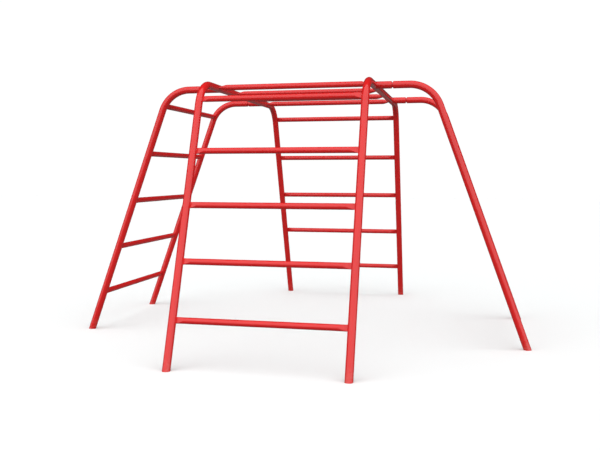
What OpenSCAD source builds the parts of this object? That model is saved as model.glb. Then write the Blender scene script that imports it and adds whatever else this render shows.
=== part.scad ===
// Square playground climbing frame with monkey bars.
// Two bent-tube hoops run front to back. They carry the front and rear ladders and the
// overhead rungs. A ladder leans on each side, and its stiles plug onto stubs that are
// welded to the hoops. Millimetres, +Z up, +X right, -Y front.
// Origin: on the ground, under the middle of the overhead ladder.

/* [Frame] */
// Height of the centre lines of the top tubes above the ground
top_z = 1710; // [1660:10:1750]
// Centre-line spacing of the two hoops, and of the two stiles of each side ladder
frame_w = 1060; // [900:10:1080]
// Distance between opposite feet, centre to centre on the ground
foot_span = 3060; // [3000:10:3400]
// Lean of every leg from the vertical, in degrees
leg_lean = 20; // [15:1:20]
// Centre-line radius of the tube bends
bend_r = 210; // [150:5:240]

/* [Tubes] */
// Outer diameter of the hoops, stiles and stubs
tube_d = 48.3; // [42:0.1:52]
// Wall thickness of the hoops, stiles and stubs
tube_wall = 2.9; // [2:0.1:3.6]
// Outer diameter of the rungs
rung_d = 38; // [30:0.5:40]
// Wall thickness of the rungs
rung_wall = 2.3; // [1.5:0.1:2.8]

/* [Rungs] */
// Number of rungs on each ladder
ladder_rungs = 5; // [2:1:5]
// Height of the lowest ladder rung
first_rung_z = 277; // [200:1:300]
// Vertical spacing of the ladder rungs
rung_pitch = 331.5; // [280:0.5:335]
// Number of overhead rungs
overhead_rungs = 4; // [2:1:5]
// Spacing of the overhead rungs
overhead_pitch = 409; // [250:1:420]
// Length over which each rung end is pressed flat
press_len = 46; // [30:1:60]
// Thickness of a pressed rung end where it meets the stile
press_t = 7; // [6.5:0.5:12]

/* [Plug-in joints] */
// Distance of each joint's gap from the middle of the frame
joint_x = 650; // [640:1:680]
// Gap between the two tube ends of a joint
joint_gap = 8; // [4:1:14]
// Outer diameter of the spigot that bridges the gap
spigot_d = 33.7; // [26:0.1:36]
// Length of spigot inside each tube
spigot_depth = 62; // [50:1:70]
// Diameter of the grub screw that locks a stile on its spigot
screw_d = 8; // [6:1:10]

/* [Hidden] */
tube_r = tube_d / 2;
bore_r = tube_r - tube_wall;
rung_r = rung_d / 2;
spigot_r = spigot_d / 2;
spigot_wall = 4;
half_w = frame_w / 2;
foot_x = foot_span / 2;
face_x = half_w - tube_r;
press_slope = (rung_r - press_t / 2) / press_len;
bend_angle = 90 - leg_lean;
bend_z = top_z - bend_r;
straight_x = foot_x - top_z * tan(leg_lean) - bend_r * tan(bend_angle / 2);
leg_top_z = bend_z + bend_r * sin(leg_lean);
below_ground = 120;
fit_gap = 0.1;
past = 1;
nose_len = 6;
nose_round = 4;
ring_depth = 18;
screw_x = joint_x + joint_gap / 2 + nose_len + ring_depth + 14;
screw_len = 13;
screw_key_d = 4.6;
screw_key_depth = 4;
plug_t = 12;
plug_recess = 2;
seam_gap = 0.05;
bend_swell = 0.3;
bend_lap = 2;
red = "#d6312f";
steel = "#a8abad";
black = "#242424";
$fn = 48;

LADDERS = ["front", "right", "rear", "left"];
CORNERS = ["right_front", "right_rear", "left_front", "left_rear"];

// Height of a ladder rung's axis
function rung_z(i) = first_rung_z + (i - 1) * rung_pitch;
// Angle above the horizontal at which the side of a stile faces outwards at height z
function face_angle(z) = z < leg_top_z ? leg_lean : asin((z - bend_z) / bend_r);
// Distance of a stile's centre line from the middle of the frame at height z
function stile_x(z) = z < leg_top_z ? foot_x - z * tan(leg_lean)
                                    : straight_x + bend_r * cos(face_angle(z));
// Quarter turns that bring a ladder on the right side round to its own side
function quarter(side) = side == "front" ? -90 : side == "rear" ? 90 : side == "left" ? 180 : 0;

// The bends are thicker than the straight runs by bend_swell, and the runs lap into them by bend_lap

// Round bar along X from x0 to x1
module bar_x(r, x0, x1) {
    translate([x0, 0, 0]) rotate([0, 90, 0]) cylinder(r = r, h = x1 - x0);
}

// Bend at the right-hand end of a top tube
module bend(r) {
    translate([straight_x, 0, bend_z])
        rotate([90, 0, 0])
            rotate([0, 0, leg_lean])
                rotate_extrude(angle = bend_angle) translate([bend_r, 0]) circle(r = r + bend_swell);
}

// Leaning leg below the bend, running on below the ground
module leg(r) {
    translate([foot_x, 0, 0])
        rotate([0, -leg_lean, 0])
            translate([0, 0, -below_ground])
                cylinder(r = r, h = below_ground + leg_top_z / cos(leg_lean) + bend_lap);
}

// Everything below the ground
module underground() {
    translate([-2 * foot_x, -2 * foot_x, -2 * below_ground])
        cube([4 * foot_x, 4 * foot_x, 2 * below_ground]);
}

// Solid bar along the whole path of a hoop
module hoop_bar(r) {
    translate([0, 0, top_z]) bar_x(r, -straight_x - bend_lap, straight_x + bend_lap);
    for (turn = [0, 180]) rotate([0, 0, turn]) {
        bend(r);
        leg(r);
    }
}

// One front-to-back hoop, cut off flat on the ground
module hoop(x) {
    color(red)
        translate([x, 0, 0])
            rotate([0, 0, 90])
                difference() {
                    hoop_bar(tube_r);
                    hoop_bar(bore_r);
                    underground();
                }
}

// Moves a corner's part from the middle of the right side to its own corner
module at_corner(corner) {
    flip_x = corner == "left_front" || corner == "left_rear" ? 1 : 0;
    row = corner == "right_front" || corner == "left_front" ? -1 : 1;
    mirror([flip_x, 0, 0]) translate([0, row * half_w, 0]) children();
}

// Solid bar along the path of a side-ladder stile
module stile_bar(r, x0) {
    translate([0, 0, top_z]) bar_x(r, x0, straight_x + bend_lap);
    bend(r);
    leg(r);
}

// Side-ladder stile, from its joint to the ground
module stile(corner) {
    x0 = joint_x + joint_gap / 2 + nose_len;
    color(red) at_corner(corner)
        difference() {
            stile_bar(tube_r, x0);
            stile_bar(bore_r, x0 - past);
            underground();
            translate([screw_x, 0, top_z]) cylinder(d = screw_d + 2 * fit_gap, h = tube_d);
        }
}

// Stub welded to the outside of a hoop, notched round it
module stub(corner) {
    x1 = joint_x - joint_gap / 2 - nose_len;
    color(red) at_corner(corner)
        translate([0, 0, top_z])
            difference() {
                bar_x(tube_r, half_w, x1);
                bar_x(bore_r, half_w - past, x1 + past);
                translate([half_w, 0, 0]) rotate([90, 0, 0])
                    cylinder(r = tube_r + seam_gap, h = 2 * tube_d, center = true);
            }
}

// Spigot that joins a stub to a stile
module spigot(corner) {
    reach = joint_gap / 2 + nose_len + spigot_depth;
    color(red) at_corner(corner)
        translate([0, 0, top_z])
            difference() {
                bar_x(spigot_r, joint_x - reach, joint_x + reach);
                bar_x(spigot_r - spigot_wall, joint_x - reach - past, joint_x + reach + past);
                translate([screw_x, 0, 0]) cylinder(d = screw_d, h = tube_d);
            }
}

// Ring that closes a tube end: a rounded nose outside and a sleeve inside, opening along +Z
module end_ring() {
    rotate_extrude() {
        translate([spigot_r + fit_gap, 0]) square([tube_r - nose_round - spigot_r - fit_gap, nose_len]);
        translate([spigot_r + fit_gap, 0]) square([tube_r - spigot_r - fit_gap, nose_len - nose_round]);
        translate([spigot_r + fit_gap, -ring_depth])
            square([bore_r - fit_gap - spigot_r - fit_gap, ring_depth + past]);
        intersection() {
            translate([tube_r - nose_round, nose_len - nose_round]) circle(r = nose_round);
            translate([tube_r - nose_round, nose_len - nose_round]) square(nose_round);
        }
    }
}

// Ring in the end of a stub
module stub_ring(corner) {
    color(red) at_corner(corner)
        translate([joint_x - joint_gap / 2 - nose_len, 0, top_z]) rotate([0, 90, 0]) end_ring();
}

// Ring in the end of a stile
module stile_ring(corner) {
    color(red) at_corner(corner)
        translate([joint_x + joint_gap / 2 + nose_len, 0, top_z]) rotate([0, -90, 0]) end_ring();
}

// Grub screw on top of the joint, flush with the stile
module grub_screw(corner) {
    top = tube_r - 1;
    color(steel) at_corner(corner)
        translate([screw_x, 0, top_z + top - screw_len])
            difference() {
                cylinder(d = screw_d, h = screw_len);
                translate([0, 0, screw_len - screw_key_depth])
                    cylinder(d = screw_key_d, h = screw_key_depth + past, $fn = 6);
            }
}

// Side outline of a rung along X: full height in the middle, pressed thin towards both stiles
module press_outline(wall) {
    tip_h = press_t / 2 - wall * sqrt(1 + press_slope * press_slope);
    full_h = rung_r + past;
    full_x = face_x - (full_h - tip_h) / press_slope;
    end_x = half_w + past;
    quadrant = [[full_x, full_h], [face_x, tip_h], [end_x, tip_h]];
    polygon(concat(
        quadrant,
        [for (i = [2:-1:0]) [quadrant[i][0], -quadrant[i][1]]],
        [for (p = quadrant) [-p[0], -p[1]]],
        [for (i = [2:-1:0]) [-quadrant[i][0], quadrant[i][1]]]
    ));
}

// Solid bar with pressed ends along X, pressed along Y
module pressed_bar(r, wall, end_x) {
    intersection() {
        bar_x(r, -end_x, end_x);
        linear_extrude(height = 2 * rung_d, center = true) press_outline(wall);
    }
}

// Hollow rung along X between two stiles, not yet notched
module rung_blank() {
    difference() {
        pressed_bar(rung_r, 0, half_w);
        pressed_bar(rung_r - rung_wall, rung_wall, half_w + past);
    }
}

// Rung i of a ladder, notched round both stiles
module ladder_rung(side, i) {
    z = rung_z(i);
    color(red) rotate([0, 0, quarter(side)])
        difference() {
            translate([stile_x(z), 0, z])
                rotate([0, -face_angle(z), 0])
                    rotate([0, 0, 90])
                        rung_blank();
            for (y = [-half_w, half_w]) translate([0, y, 0]) {
                if (z < leg_top_z) leg(tube_r);
                else bend(tube_r);
            }
        }
}

// Overhead rung i, counted from the front, notched round both hoops
module overhead_rung(i) {
    y = (i - (overhead_rungs + 1) / 2) * overhead_pitch;
    color(red) translate([0, y, top_z])
        difference() {
            rotate([90, 0, 0]) rung_blank();
            for (x = [-half_w, half_w]) translate([x, 0, 0])
                rotate([90, 0, 0]) cylinder(r = tube_r, h = 2 * tube_d, center = true);
        }
}

// Plug in the foot of a leg, a little above the ground; i is 1 or 2 along the ladder
module foot_plug(side, i) {
    row = i == 1 ? -1 : 1;
    color(black) rotate([0, 0, quarter(side)])
        translate([0, row * half_w, 0])
            intersection() {
                leg(bore_r);
                translate([foot_x - tube_d, -tube_d, plug_recess]) cube([2 * tube_d, 2 * tube_d, plug_t]);
            }
}

hoop(-half_w);  // left_hoop
hoop(half_w);  // right_hoop
for (c = CORNERS) {
    stile(c);
    stub(c);
    spigot(c);
    stub_ring(c);
    stile_ring(c);
    grub_screw(c);
}
for (l = LADDERS, i = [1:ladder_rungs]) {
    ladder_rung(l, i);
}
for (i = [1:overhead_rungs]) {
    overhead_rung(i);
}
for (l = LADDERS, i = [1, 2]) {
    foot_plug(l, i);
}
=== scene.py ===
"""Looks of the square climbing frame with monkey bars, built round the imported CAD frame. Metres."""
import math

import bmesh
import bpy
from mathutils import Matrix, Vector


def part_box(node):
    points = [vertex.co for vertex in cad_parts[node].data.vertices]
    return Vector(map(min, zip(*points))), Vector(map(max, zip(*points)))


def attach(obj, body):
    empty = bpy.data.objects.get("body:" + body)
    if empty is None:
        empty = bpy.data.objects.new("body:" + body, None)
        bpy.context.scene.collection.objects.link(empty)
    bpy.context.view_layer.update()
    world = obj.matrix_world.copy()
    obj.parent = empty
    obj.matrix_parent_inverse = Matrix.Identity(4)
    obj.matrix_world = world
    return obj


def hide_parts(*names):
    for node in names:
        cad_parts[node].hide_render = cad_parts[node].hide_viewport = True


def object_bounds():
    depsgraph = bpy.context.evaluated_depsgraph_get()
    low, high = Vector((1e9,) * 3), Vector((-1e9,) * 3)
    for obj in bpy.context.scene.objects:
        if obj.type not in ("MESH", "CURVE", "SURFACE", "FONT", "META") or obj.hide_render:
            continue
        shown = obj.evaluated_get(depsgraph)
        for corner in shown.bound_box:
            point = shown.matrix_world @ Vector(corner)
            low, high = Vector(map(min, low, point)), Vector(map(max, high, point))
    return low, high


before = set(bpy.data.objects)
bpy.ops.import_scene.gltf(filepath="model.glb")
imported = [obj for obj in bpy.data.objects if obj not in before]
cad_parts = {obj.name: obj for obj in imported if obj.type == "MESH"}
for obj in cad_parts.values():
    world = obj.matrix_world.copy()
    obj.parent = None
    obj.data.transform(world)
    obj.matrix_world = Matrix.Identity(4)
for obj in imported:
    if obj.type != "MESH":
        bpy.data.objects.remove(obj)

CAD_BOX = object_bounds()
MM = 0.001

# Sizes that the CAD model gives
HOOP_LOW, HOOP_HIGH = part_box("left_hoop")
STUB_LOW, STUB_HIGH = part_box("right_front_stub")
RUNG_LOW, RUNG_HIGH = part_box("overhead_rung_1")
SPIGOT_LOW, SPIGOT_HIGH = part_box("right_front_spigot")
RING_LOW, RING_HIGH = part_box("right_front_stub_ring")
STUB_END_X = STUB_HIGH.x
STILE_START_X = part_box("right_front_stile")[0].x
TUBE_R = (STUB_HIGH.z - STUB_LOW.z) / 2
RUNG_R = (RUNG_HIGH.y - RUNG_LOW.y) / 2
SPIGOT_R = (SPIGOT_HIGH.z - SPIGOT_LOW.z) / 2
HALF_W = -(HOOP_LOW.x + HOOP_HIGH.x) / 2
TOP_Z = (STUB_LOW.z + STUB_HIGH.z) / 2

# Driving sizes of the tubes, the pressed rung ends and the plug-in joints
LEG_LEAN = math.radians(20)
BEND_R = 210 * MM
TUBE_WALL = 2.9 * MM
PRESS_LEN = 46 * MM
PRESS_HALF_T = 3.5 * MM
LADDER_RUNGS = 5
OVERHEAD_RUNGS = 4
NOSE_ROUND = 4 * MM
FIT_GAP = 0.1 * MM
SPIGOT_WALL = 4 * MM
SPIGOT_BEVEL = 1.2 * MM

# Worked out from the sizes above
BORE_R = TUBE_R - TUBE_WALL
FOOT_X = HOOP_HIGH.y - TUBE_R / math.cos(LEG_LEAN)
BEND_Z = TOP_Z - BEND_R
BEND_ANGLE = math.pi / 2 - LEG_LEAN
STRAIGHT_X = FOOT_X - TOP_Z * math.tan(LEG_LEAN) - BEND_R * math.tan(BEND_ANGLE / 2)
LEG_TOP_Z = BEND_Z + BEND_R * math.sin(LEG_LEAN)

# How finely things are meshed
TUBE_SIDES = 64
RUNG_SIDES = 72
BEND_RINGS = 28
NOSE_STEPS = 8
# Edges that turn by more than this are shaded sharp
SHARP_ANGLE = math.radians(40)

# Turn in degrees that brings the right ladder round to each side
LADDERS = {"front": -90, "right": 0, "rear": 90, "left": 180}
# Signs of x and y at each corner
CORNERS = {"right_front": (1, -1), "right_rear": (1, 1), "left_front": (-1, -1), "left_rear": (-1, 1)}


# ---------------------------------------------------------------- mesh helpers

def new_piece(name, bm, material, slot, *nodes):
    """Turns a bmesh into a smooth-shaded piece of the object that stands for the given CAD nodes, if any."""
    bmesh.ops.recalc_face_normals(bm, faces=bm.faces)
    mesh = bpy.data.meshes.new(name)
    bm.to_mesh(mesh)
    bm.free()
    mesh.shade_smooth()
    mesh.set_sharp_from_angle(angle=SHARP_ANGLE)
    piece = bpy.data.objects.new(name, mesh)
    bpy.context.scene.collection.objects.link(piece)
    mesh.materials.append(material)
    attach(piece, "root")
    if nodes:
        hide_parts(*nodes)
    return piece


def add_ring(bm, points):
    """Adds a vertex at each point."""
    return [bm.verts.new(p) for p in points]


def bridge(bm, ring_a, ring_b):
    """Joins two rings of the same length with quads."""
    count = len(ring_a)
    for i in range(count):
        j = (i + 1) % count
        bm.faces.new((ring_a[i], ring_a[j], ring_b[j], ring_b[i]))


def cap(bm, ring):
    """Closes a ring with a fan of triangles."""
    centre = bm.verts.new(sum((v.co for v in ring), Vector()) / len(ring))
    for i in range(len(ring)):
        bm.faces.new((ring[i], ring[(i + 1) % len(ring)], centre))


def circle_angles(count):
    """Angles that divide a full turn evenly."""
    return [2 * math.pi * i / count for i in range(count)]


def lathe_x(bm, profile):
    """Turns a closed outline of (x, radius) points about the line along X at the height of the top tubes."""
    centre = Vector((0, 0, TOP_Z))
    rings = []
    for x, r in profile:
        rings.append(add_ring(bm, [
            centre + Vector((x, r * math.cos(a), r * math.sin(a))) for a in circle_angles(TUBE_SIDES)
        ]))
    for k in range(len(rings)):
        bridge(bm, rings[k], rings[(k + 1) % len(rings)])


# ---------------------------------------------------------------- tube paths

def bend_point(angle):
    """Centre-line point and direction on the bend; angle runs from the leg lean up to a quarter turn."""
    point = Vector((STRAIGHT_X + BEND_R * math.cos(angle), 0, BEND_Z + BEND_R * math.sin(angle)))
    return point, Vector((math.sin(angle), 0, -math.cos(angle)))


def half_path(start_x):
    """(point, direction) stations from start_x on the top tube, round the bend and down to the ground."""
    stations = [(Vector((start_x, 0, TOP_Z)), Vector((1, 0, 0)))]
    for i in range(BEND_RINGS + 1):
        stations.append(bend_point(math.pi / 2 - BEND_ANGLE * i / BEND_RINGS))
    leg_way = stations[-1][1]
    stations.append((Vector((FOOT_X, 0, 0)), leg_way))
    return stations


def tube_ring(station, r, on_ground):
    """One ring of tube points; at the foot the ring is slid along the leg onto the ground."""
    point, way = station
    side = Vector((0, 1, 0))
    across = way.cross(side)
    ring = []
    for a in circle_angles(TUBE_SIDES):
        p = point + r * (math.cos(a) * side + math.sin(a) * across)
        if on_ground:
            p = p - way * (p.z / way.z)
        ring.append(p)
    return ring


def add_tube(bm, stations, grounded, place):
    """A hollow tube along the stations; grounded says which of its two ends are cut off on the ground."""
    last = len(stations) - 1
    walls = []
    for r in (TUBE_R, BORE_R):
        rings = []
        for k, station in enumerate(stations):
            on_ground = (k == 0 and grounded[0]) or (k == last and grounded[1])
            rings.append(add_ring(bm, [place @ p for p in tube_ring(station, r, on_ground)]))
        for a, b in zip(rings, rings[1:]):
            bridge(bm, a, b)
        walls.append(rings)
    for end in (0, -1):
        bridge(bm, walls[0][end], walls[1][end])


def stile_at(z):
    """Distance of a stile's centre line from the middle of the frame at height z, and its facing angle."""
    if z < LEG_TOP_Z:
        return FOOT_X - z * math.tan(LEG_LEAN), LEG_LEAN
    angle = math.asin((z - BEND_Z) / BEND_R)
    return STRAIGHT_X + BEND_R * math.cos(angle), angle


def tube_face(offset):
    """Distance from a frame tube's axis to its surface, at a sideways offset from that axis."""
    return math.sqrt(max(TUBE_R ** 2 - offset ** 2, 0))


def corner_matrix(corner):
    """Moves a part made on the middle of the right side to a corner's side tube."""
    side, row = CORNERS[corner]
    return Matrix.Translation((0, row * HALF_W, 0)) @ Matrix.Diagonal((side, 1, 1, 1))


# ---------------------------------------------------------------- rungs

# Width over which the pressed faces blend into the round sides
PRESS_SOFTNESS = 1.6 * MM
# How much wider a rung grows, as a share, where it is pressed to nothing
PRESS_SPREAD = 0.03
# Distances from the stile at which a rung's end is meshed, as shares of the pressed length
PRESS_STEPS = [0, 0.04, 0.12, 0.22, 0.34, 0.46, 0.58, 0.7, 0.8, 0.88, 0.95, 1.0, 1.06, 1.12, 1.2]
# How far a welded piece runs into the tube that it is welded to
WELD_SINK = 1.2 * MM


def soft_min(a, b, width):
    """The smaller of two lengths, blended where they are within width of each other."""
    h = max(width - abs(a - b), 0) / width
    return min(a, b) - h * h * width / 4


def press_half_height(from_face):
    """Half thickness of a rung at a distance from the stile's face, and the factor by which it widens."""
    slope = (RUNG_R - PRESS_HALF_T) / PRESS_LEN
    half = PRESS_HALF_T + slope * max(from_face, 0)
    spread = 1 + PRESS_SPREAD * max(0, 1 - half / RUNG_R)
    return half, spread


def rung_section(from_face):
    """(through the pressed faces, along the stile) points round a rung, from_face away from the stile."""
    half, spread = press_half_height(from_face)
    points = []
    for a in circle_angles(RUNG_SIDES):
        across, along = RUNG_R * math.sin(a), RUNG_R * math.cos(a)
        flat = soft_min(abs(across), half, PRESS_SOFTNESS)
        points.append((math.copysign(flat, across), along * spread))
    return points


def add_rung(bm, place):
    """A rung along X, pressed along Y, sunk a little into both its tubes; place puts it in the frame."""
    face_x = HALF_W - TUBE_R
    stations = []
    for side in (-1, 1):
        steps = PRESS_STEPS if side < 0 else reversed(PRESS_STEPS)
        stations += [(side, s * PRESS_LEN) for s in steps]
    rings = []
    for side, from_face in stations:
        points = []
        for across, along in rung_section(from_face):
            x = face_x - from_face
            if from_face == 0:
                x = HALF_W - tube_face(across) + WELD_SINK
            points.append(place @ Vector((side * x, across, along)))
        rings.append(add_ring(bm, points))
    for a, b in zip(rings, rings[1:]):
        bridge(bm, a, b)
    cap(bm, rings[0])
    cap(bm, rings[-1])


def ladder_place(side, i):
    """Where a rung made along X goes in a ladder."""
    low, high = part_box(f"right_rung_{i}")
    z = (low.z + high.z) / 2
    out, angle = stile_at(z)
    return (Matrix.Rotation(math.radians(LADDERS[side]), 4, "Z")
            @ Matrix.Translation((out, 0, z))
            @ Matrix.Rotation(-angle, 4, "Y")
            @ Matrix.Rotation(math.pi / 2, 4, "Z"))


def overhead_place(i):
    """Where a rung made along X goes between the hoops."""
    low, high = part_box(f"overhead_rung_{i}")
    return Matrix.Translation((0, (low.y + high.y) / 2, TOP_Z)) @ Matrix.Rotation(math.pi / 2, 4, "X")


# ---------------------------------------------------------------- weld beads

WELD_R = 1.5 * MM
WELD_SIDES = 10
WELD_RIPPLE = 0.12 * MM
WELD_RIPPLES = 34
RUNG_WELD_POINTS = 170
STUB_WELD_POINTS = 220
# How far a rung's bead faces sideways, against 1 along the rung
RUNG_WELD_FLARE = 0.5
# How far a stub's bead faces along the stub, against 1 sideways
STUB_WELD_LEAN = 0.6
# Keeps a division safe where two points of a line fall together
TINY = 1e-9


def resample(line, count):
    """Spreads count points evenly along a closed line."""
    lengths = [0]
    for k in range(len(line)):
        lengths.append(lengths[-1] + (line[(k + 1) % len(line)] - line[k]).length)
    out = []
    k = 0
    for i in range(count):
        want = lengths[-1] * i / count
        while lengths[k + 1] < want:
            k += 1
        share = (want - lengths[k]) / max(lengths[k + 1] - lengths[k], TINY)
        out.append(line[k].lerp(line[(k + 1) % len(line)], share))
    return out


def add_bead(bm, centre_line, away, place):
    """A weld bead: a thin rippled ring along a closed line; away points out of the seam at each point."""
    turn = place.to_3x3()
    line = [place @ p for p in centre_line]
    outward = [turn @ v for v in away]
    count = len(line)
    rings = []
    for k in range(count):
        way = (line[(k + 1) % count] - line[k - 1]).normalized()
        out = outward[k].normalized()
        across = way.cross(out)
        r = WELD_R + WELD_RIPPLE * math.sin(2 * math.pi * WELD_RIPPLES * k / count)
        rings.append(add_ring(bm, [
            line[k] + r * (math.cos(a) * out + math.sin(a) * across)
            for a in circle_angles(WELD_SIDES)
        ]))
    for k in range(count):
        bridge(bm, rings[k], rings[(k + 1) % count])


def add_rung_beads(bm, place):
    """The two weld beads of a rung along X, where its pressed ends meet the stiles or hoops."""
    for side in (-1, 1):
        line = []
        for across, along in rung_section(0):
            line.append(Vector((side * (HALF_W - tube_face(across)), across, along)))
        line = resample(line, RUNG_WELD_POINTS)
        away = []
        for p in line:
            flare = (RUNG_WELD_FLARE * p.y / PRESS_HALF_T, RUNG_WELD_FLARE * p.z / RUNG_R)
            away.append(Vector((-side, *flare)))
        add_bead(bm, line, away, place)


# ---------------------------------------------------------------- material helpers

# The Mix node has sockets for every data type; these are the ones that a colour mix uses
MIX_FACTOR = 0
MIX_COLOURS = (6, 7)
MIX_COLOUR_RESULT = 2


def new_material(name):
    """A material, its node tree, its shader and its object coordinates."""
    mat = bpy.data.materials.new(name)
    mat.use_nodes = True
    tree = mat.node_tree
    coords = tree.nodes.new("ShaderNodeTexCoord").outputs["Object"]
    return mat, tree, tree.nodes["Principled BSDF"], coords


def noise(tree, coords, scale, detail):
    """A noise over the object, as a grey value."""
    tex = tree.nodes.new("ShaderNodeTexNoise")
    tex.inputs["Scale"].default_value = scale
    tex.inputs["Detail"].default_value = detail
    tree.links.new(coords, tex.inputs["Vector"])
    return tex.outputs["Fac"]


def map_range(tree, value, span, to_low, to_high):
    """Turns a value's span into the range from to_low to to_high, and holds it there outside the span."""
    node = tree.nodes.new("ShaderNodeMapRange")
    node.inputs["From Min"].default_value = span[0]
    node.inputs["From Max"].default_value = span[1]
    node.inputs["To Min"].default_value = to_low
    node.inputs["To Max"].default_value = to_high
    tree.links.new(value, node.inputs["Value"])
    return node.outputs["Result"]


def blend(tree, share, a, b):
    """a where share is 0 and b where it is 1; each is a float or an output."""
    node = tree.nodes.new("ShaderNodeMix")
    tree.links.new(share, node.inputs["Factor"])
    for socket, value in ((node.inputs["A"], a), (node.inputs["B"], b)):
        if isinstance(value, float):
            socket.default_value = value
        else:
            tree.links.new(value, socket)
    return node.outputs["Result"]


def mix_colour(tree, share, a, b):
    """Colour a where share is 0 and colour b where it is 1; each is a colour or an output."""
    node = tree.nodes.new("ShaderNodeMix")
    node.data_type = "RGBA"
    for index, colour in zip(MIX_COLOURS, (a, b)):
        if isinstance(colour, tuple):
            node.inputs[index].default_value = (*colour, 1)
        else:
            tree.links.new(colour, node.inputs[index])
    tree.links.new(share, node.inputs[MIX_FACTOR])
    return node.outputs[MIX_COLOUR_RESULT]


def add_bump(tree, shader, height, strength, distance):
    """Lets a grey value raise the shader's surface."""
    bump = tree.nodes.new("ShaderNodeBump")
    bump.inputs["Strength"].default_value = strength
    bump.inputs["Distance"].default_value = distance
    tree.links.new(height, bump.inputs["Height"])
    tree.links.new(bump.outputs["Normal"], shader.inputs["Normal"])


# ---------------------------------------------------------------- materials

# Noises as (scale, detail)
TINT_NOISE = (3.0, 3)
GLOSS_NOISE = (45.0, 4)
SCUFF_NOISE = (14.0, 8)
PEEL_NOISE = (420.0, 2)
ZINC_NOISE = (1500.0, 3)
PLASTIC_NOISE = (1200.0, 2)

# The range from none to all
WHOLE = (0, 1)
# The part of a noise's range that each effect uses
TINT_SPAN = (0.35, 0.65)
GLOSS_SPAN = (0.35, 0.65)
SCUFF_SPAN = (0.60, 0.72)
DUST_SPAN = (0.4, 0.6)
GRAIN_SPAN = (0.3, 0.7)

# The red paint and what wears and dirties it
PAINT_BRIGHT = (0.64, 0.0125, 0.0125)
PAINT_DEEP = (0.60, 0.011, 0.011)
PAINT_IOR = 1.5
PEEL_STRENGTH = 0.35
PEEL_DEPTH = 0.00006
FRAME_ROUGHNESS = (0.06, 0.11)
RUNG_ROUGHNESS = (0.06, 0.12)
WORN_PAINT = (0.62, 0.06, 0.055)
WORN_SHARE = 0.10
WORN_ROUGHNESS = 0.9
DUST = (0.42, 0.33, 0.26)
DUST_SHARE = 0.16
DUST_HEIGHTS = (0.0, 0.09)

# The screws and the foot plugs
ZINC_COLOURS = ((0.55, 0.56, 0.57), (0.72, 0.72, 0.70))
ZINC_ROUGHNESS = (0.28, 0.5)
PLASTIC_COLOURS = ((0.018, 0.018, 0.019), (0.04, 0.04, 0.041))
PLASTIC_ROUGHNESS = (0.5, 0.7)
PLASTIC_BUMP = 0.3
PLASTIC_GRAIN_DEPTH = 0.0001


def powder_coat(name, roughness):
    """Glossy powder coat: orange-peel bump, uneven colour and gloss, dull scuffs, and dust low down."""
    mat, tree, shader, coords = new_material(name)
    cloud = noise(tree, coords, *GLOSS_NOISE)
    tint = map_range(tree, noise(tree, coords, *TINT_NOISE), TINT_SPAN, *WHOLE)
    base = mix_colour(tree, tint, PAINT_BRIGHT, PAINT_DEEP)
    worn = map_range(tree, noise(tree, coords, *SCUFF_NOISE), SCUFF_SPAN, 0, WORN_SHARE)
    base = mix_colour(tree, worn, base, WORN_PAINT)
    height = tree.nodes.new("ShaderNodeSeparateXYZ")
    tree.links.new(coords, height.inputs[0])
    low = map_range(tree, height.outputs["Z"], DUST_HEIGHTS, DUST_SHARE, 0)
    dusty = blend(tree, map_range(tree, cloud, DUST_SPAN, *WHOLE), 0.0, low)
    base = mix_colour(tree, dusty, base, DUST)
    tree.links.new(base, shader.inputs["Base Color"])
    gloss = map_range(tree, cloud, GLOSS_SPAN, *roughness)
    tree.links.new(blend(tree, worn, gloss, WORN_ROUGHNESS), shader.inputs["Roughness"])
    add_bump(tree, shader, noise(tree, coords, *PEEL_NOISE), PEEL_STRENGTH, PEEL_DEPTH)
    shader.inputs["IOR"].default_value = PAINT_IOR
    return mat


def zinc_steel():
    """Zinc-plated screw steel."""
    mat, tree, shader, coords = new_material("zinc_steel")
    grain = noise(tree, coords, *ZINC_NOISE)
    shader.inputs["Metallic"].default_value = 1
    tree.links.new(mix_colour(tree, grain, *ZINC_COLOURS), shader.inputs["Base Color"])
    tree.links.new(map_range(tree, grain, GRAIN_SPAN, *ZINC_ROUGHNESS), shader.inputs["Roughness"])
    return mat


def black_plastic():
    """Moulded black plastic with a fine grain."""
    mat, tree, shader, coords = new_material("black_plastic")
    grain = noise(tree, coords, *PLASTIC_NOISE)
    tree.links.new(mix_colour(tree, grain, *PLASTIC_COLOURS), shader.inputs["Base Color"])
    tree.links.new(map_range(tree, grain, GRAIN_SPAN, *PLASTIC_ROUGHNESS), shader.inputs["Roughness"])
    add_bump(tree, shader, grain, PLASTIC_BUMP, PLASTIC_GRAIN_DEPTH)
    return mat


FRAME_PAINT = powder_coat("frame_powder_coat", FRAME_ROUGHNESS)
RUNG_PAINT = powder_coat("rung_powder_coat", RUNG_ROUGHNESS)
STEEL = zinc_steel()
PLASTIC = black_plastic()


# ---------------------------------------------------------------- the object

def make_hoops():
    """The two bent tubes that run front to back, from foot to foot."""
    stations = half_path(0)[1:]
    mirrored = [(Vector((-p.x, 0, p.z)), Vector((way.x, 0, -way.z))) for p, way in reversed(stations)]
    for name, side in (("left_hoop", -1), ("right_hoop", 1)):
        bm = bmesh.new()
        place = Matrix.Translation((side * HALF_W, 0, 0)) @ Matrix.Rotation(math.pi / 2, 4, "Z")
        add_tube(bm, mirrored + stations, (True, True), place)
        new_piece(f"{name}_tube", bm, FRAME_PAINT, "frame_paint", name)


def make_stiles():
    """The bent tubes of the side ladders, each from its joint down to its foot."""
    for corner in CORNERS:
        bm = bmesh.new()
        add_tube(bm, half_path(STILE_START_X), (False, True), corner_matrix(corner))
        new_piece(f"{corner}_stile_tube", bm, FRAME_PAINT, "frame_paint", f"{corner}_stile")


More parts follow.
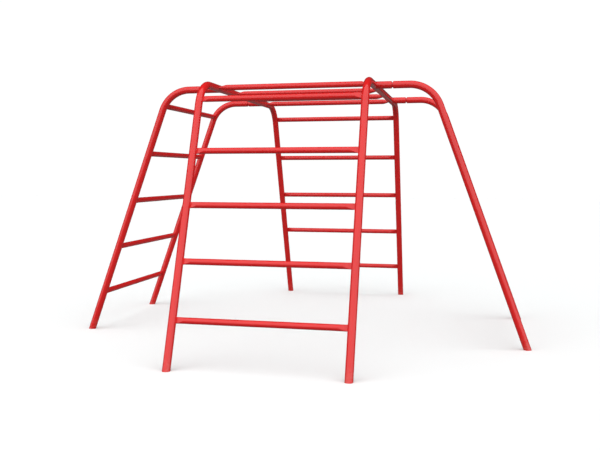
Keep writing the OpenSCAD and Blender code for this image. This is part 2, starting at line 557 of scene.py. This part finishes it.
def make_stubs():
    """Stubs, notched round the hoop at one end and open under the nose ring at the other."""
    for corner in CORNERS:
        bm = bmesh.new()
        place = corner_matrix(corner)
        walls = []
        for r in (TUBE_R, BORE_R):
            near, far = [], []
            for a in circle_angles(TUBE_SIDES):
                y, z = r * math.cos(a), r * math.sin(a)
                near.append(place @ Vector((HALF_W + tube_face(z) - WELD_SINK, y, TOP_Z + z)))
                far.append(place @ Vector((STUB_END_X, y, TOP_Z + z)))
            walls.append((add_ring(bm, near), add_ring(bm, far)))
            bridge(bm, *walls[-1])
        bridge(bm, walls[0][0], walls[1][0])
        bridge(bm, walls[0][1], walls[1][1])
        new_piece(f"{corner}_stub_tube", bm, FRAME_PAINT, "frame_paint", f"{corner}_stub")


def nose_profile(tube_end, opening):
    """(x, radius) outline of a nose ring; opening is +1 where the nose points away from the middle."""
    length = RING_HIGH.x - STUB_END_X
    sleeve = STUB_END_X - RING_LOW.x
    bore, shank = SPIGOT_R + FIT_GAP, BORE_R - FIT_GAP
    points = [(-sleeve, bore), (-sleeve, shank), (0, shank), (0, TUBE_R)]
    for i in range(NOSE_STEPS + 1):
        a = math.pi / 2 * i / NOSE_STEPS
        x = length - NOSE_ROUND + NOSE_ROUND * math.sin(a)
        points.append((x, TUBE_R - NOSE_ROUND + NOSE_ROUND * math.cos(a)))
    points.append((length, bore))
    return [(tube_end + opening * x, r) for x, r in points]


def spigot_profile():
    """(x, radius) outline of a spigot with bevelled ends."""
    low, high = SPIGOT_LOW.x, SPIGOT_HIGH.x
    bore = SPIGOT_R - SPIGOT_WALL
    return [
        (low, bore), (low, SPIGOT_R - SPIGOT_BEVEL), (low + SPIGOT_BEVEL, SPIGOT_R),
        (high - SPIGOT_BEVEL, SPIGOT_R), (high, SPIGOT_R - SPIGOT_BEVEL), (high, bore),
    ]


def turned_piece(name, profile, corner, node):
    """A red turned piece of a corner's plug-in joint."""
    bm = bmesh.new()
    lathe_x(bm, profile)
    bm.transform(corner_matrix(corner))
    new_piece(name, bm, FRAME_PAINT, "frame_paint", node)


def make_joints():
    """Nose rings and spigots of the four plug-in joints."""
    for corner in CORNERS:
        for kind, end, opening in (("stub", STUB_END_X, 1), ("stile", STILE_START_X, -1)):
            turned_piece(f"{corner}_{kind}_nose", nose_profile(end, opening), corner, f"{corner}_{kind}_ring")
        turned_piece(f"{corner}_spigot_core", spigot_profile(), corner, f"{corner}_spigot")


def make_rung(name, place, beads):
    """A rung that stands for the CAD node of its name, with its weld beads added to beads."""
    bm = bmesh.new()
    add_rung(bm, place)
    new_piece(f"{name}_tube", bm, RUNG_PAINT, "rung_paint", name)
    add_rung_beads(beads, place)


def make_ladder_rungs():
    """The rungs of the four ladders, with the beads of each ladder as one piece."""
    for side in LADDERS:
        beads = bmesh.new()
        for i in range(1, LADDER_RUNGS + 1):
            make_rung(f"{side}_rung_{i}", ladder_place(side, i), beads)
        new_piece(f"{side}_ladder_welds", beads, FRAME_PAINT, "frame_paint")


def make_overhead_rungs():
    """The monkey-bar rungs between the hoops, with their beads as one piece."""
    beads = bmesh.new()
    for i in range(1, OVERHEAD_RUNGS + 1):
        make_rung(f"overhead_rung_{i}", overhead_place(i), beads)
    new_piece("overhead_welds", beads, FRAME_PAINT, "frame_paint")


def make_stub_welds():
    """Beads round the notched ends of the stubs, held down to the height of the CAD box."""
    for corner in CORNERS:
        bm = bmesh.new()
        line = []
        for a in circle_angles(TUBE_SIDES * 2):
            y, z = TUBE_R * math.cos(a), TUBE_R * math.sin(a)
            line.append(Vector((HALF_W + tube_face(z), y, TOP_Z + z)))
        line = resample(line, STUB_WELD_POINTS)
        away = [Vector((STUB_WELD_LEAN, p.y / TUBE_R, (p.z - TOP_Z) / TUBE_R)) for p in line]
        add_bead(bm, line, away, corner_matrix(corner))
        for v in bm.verts:
            v.co.z = min(v.co.z, CAD_BOX[1].z)
        new_piece(f"{corner}_stub_weld", bm, FRAME_PAINT, "frame_paint")


def finish_cad_nodes():
    """Screws and foot plugs keep their CAD shape and get their finish here."""
    for name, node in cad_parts.items():
        if name.endswith("_grub_screw"):
            node.data.materials.clear()
            node.data.materials.append(STEEL)
        elif "_foot_plug_" in name:
            node.data.materials.clear()
            node.data.materials.append(PLASTIC)


# ---------------------------------------------------------------- floor, light and camera

FLOOR_HALF = 30.0
FLOOR_COLOUR = (0.865, 0.88, 0.88, 1)
WHITE = (1, 1, 1, 1)

# Brightness of the world as the camera sees it
BACKDROP = 1.03
# Brightness of the studio's front and top, and the direction of the middle of its front
STUDIO_BRIGHT = 1.70
STUDIO_FRONT = (0.22, -0.96, 0.17)
# Brightness of the back and of the ground, as they light things and as polished surfaces mirror them
STUDIO_BACK = (0.45, 0.05)
STUDIO_GROUND = (0.23, 0.18)
# Upward part of the view direction over which the ground gives way to what is above it
HORIZON = (-0.14, -0.06)
# Forward part of the view direction over which the back gives way to the front
FRONT_EDGE = (-0.08, 0.12)

KEY_PLACE = Vector((-3.6, -4.6, 3.4))
KEY_TARGET = Vector((0, 0, 0.9))
KEY_SIZE = (4.0, 3.0)
KEY_WATTS = 26

CAMERA_PLACE = (1.1614, -5.4931, 1.1296)
CAMERA_YAW = math.radians(-12.84)
CAMERA_PITCH = math.radians(-3.90)
CAMERA_LENS = 45.03
SENSOR_WIDTH = 36


def make_floor():
    """A matt white floor that catches shadows. It isn't mirrored in the paint and lights nothing."""
    corners = [(x * FLOOR_HALF, y * FLOOR_HALF, 0) for x, y in ((-1, -1), (1, -1), (1, 1), (-1, 1))]
    mesh = bpy.data.meshes.new("floor")
    mesh.from_pydata(corners, [], [(0, 1, 2, 3)])
    floor = bpy.data.objects.new("floor", mesh)
    bpy.context.scene.collection.objects.link(floor)
    mat = bpy.data.materials.new("floor_white")
    mat.use_nodes = True
    shader = mat.node_tree.nodes["Principled BSDF"]
    shader.inputs["Base Color"].default_value = FLOOR_COLOUR
    shader.inputs["Roughness"].default_value = 1.0
    shader.inputs["Specular IOR Level"].default_value = 0.0
    mesh.materials.append(mat)
    floor.visible_glossy = False
    floor.visible_diffuse = False


def studio_strength(tree, glossy):
    """Brightness of the studio in each direction; glossy is 1 for rays that a polished surface mirrors."""
    way = tree.nodes.new("ShaderNodeTexCoord").outputs["Generated"]
    height = tree.nodes.new("ShaderNodeSeparateXYZ")
    tree.links.new(way, height.inputs[0])
    facing = tree.nodes.new("ShaderNodeVectorMath")
    facing.operation = "DOT_PRODUCT"
    facing.inputs[1].default_value = STUDIO_FRONT
    tree.links.new(way, facing.inputs[0])
    above = map_range(tree, height.outputs["Z"], HORIZON, *WHOLE)
    before = map_range(tree, facing.outputs["Value"], FRONT_EDGE, *WHOLE)
    back = map_range(tree, glossy, WHOLE, *STUDIO_BACK)
    ground = map_range(tree, glossy, WHOLE, *STUDIO_GROUND)
    return blend(tree, above, ground, blend(tree, before, back, STUDIO_BRIGHT))


def make_world():
    """White to the camera; for light and reflections a bright front and top, and a dim back and ground."""
    world = bpy.data.worlds.new("studio")
    bpy.context.scene.world = world
    world.use_nodes = True
    tree = world.node_tree
    shown = tree.nodes["Background"]
    shown.inputs["Color"].default_value = WHITE
    shown.inputs["Strength"].default_value = BACKDROP
    ray = tree.nodes.new("ShaderNodeLightPath").outputs
    studio = tree.nodes.new("ShaderNodeBackground")
    studio.inputs["Color"].default_value = WHITE
    tree.links.new(studio_strength(tree, ray["Is Glossy Ray"]), studio.inputs["Strength"])
    mix = tree.nodes.new("ShaderNodeMixShader")
    tree.links.new(ray["Is Camera Ray"], mix.inputs[0])
    tree.links.new(studio.outputs[0], mix.inputs[1])
    tree.links.new(shown.outputs[0], mix.inputs[2])
    tree.links.new(mix.outputs[0], tree.nodes["World Output"].inputs["Surface"])


def make_key_light():
    """A large soft light high up at the front left. It adds no highlight of its own."""
    light = bpy.data.lights.new("key_softbox", "AREA")
    light.shape = "RECTANGLE"
    light.size, light.size_y = KEY_SIZE
    light.energy = KEY_WATTS
    key = bpy.data.objects.new("key_softbox", light)
    key.location = KEY_PLACE
    key.rotation_euler = (KEY_TARGET - KEY_PLACE).to_track_quat("-Z", "Y").to_euler()
    key.visible_glossy = False
    bpy.context.scene.collection.objects.link(key)


def make_camera():
    """The photo's camera, as fitted to it."""
    data = bpy.data.cameras.new("camera")
    data.lens = CAMERA_LENS
    data.sensor_width = SENSOR_WIDTH
    camera = bpy.data.objects.new("camera", data)
    camera.location = CAMERA_PLACE
    look = Vector((
        math.sin(CAMERA_YAW) * math.cos(CAMERA_PITCH),
        math.cos(CAMERA_YAW) * math.cos(CAMERA_PITCH),
        math.sin(CAMERA_PITCH),
    ))
    camera.rotation_euler = look.to_track_quat("-Z", "Y").to_euler()
    bpy.context.scene.collection.objects.link(camera)
    bpy.context.scene.camera = camera


make_hoops()
make_stiles()
make_stubs()
make_joints()
make_ladder_rungs()
make_overhead_rungs()
make_stub_welds()
finish_cad_nodes()
make_floor()
make_world()
make_key_light()
make_camera()
bpy.context.scene.view_settings.view_transform = "Standard"
